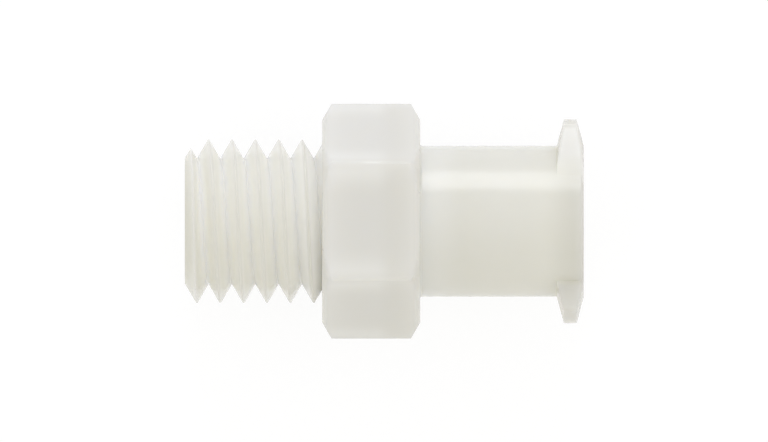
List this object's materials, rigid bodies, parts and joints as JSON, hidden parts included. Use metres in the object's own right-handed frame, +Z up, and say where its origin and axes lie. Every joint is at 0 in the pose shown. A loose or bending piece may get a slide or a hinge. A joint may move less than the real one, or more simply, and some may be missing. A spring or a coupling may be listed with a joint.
{
  "type": "female luer fitting",
  "caption": "Moulded adapter with a male threaded end, a hexagonal grip and a plain barrel, whose locking lugs stand round a tapered female luer socket.",
  "frame": {"origin": "on the fitting's axis, on the face of the hex where the male thread begins", "axes": "+X along the axis towards the luer mouth, +Y through a lug and a corner of the hex, +Z up, square to the flat that the fitting lies on"},
  "size_m": [0.0155, 0.0092, 0.008],
  "materials": {
    "natural_nylon": "natural ivory nylon as moulded, slightly translucent, with a soft gloss"
  },
  "bodies": {
    "root": {"luer_fitting": "natural_nylon"}
  },
  "joints": []
}
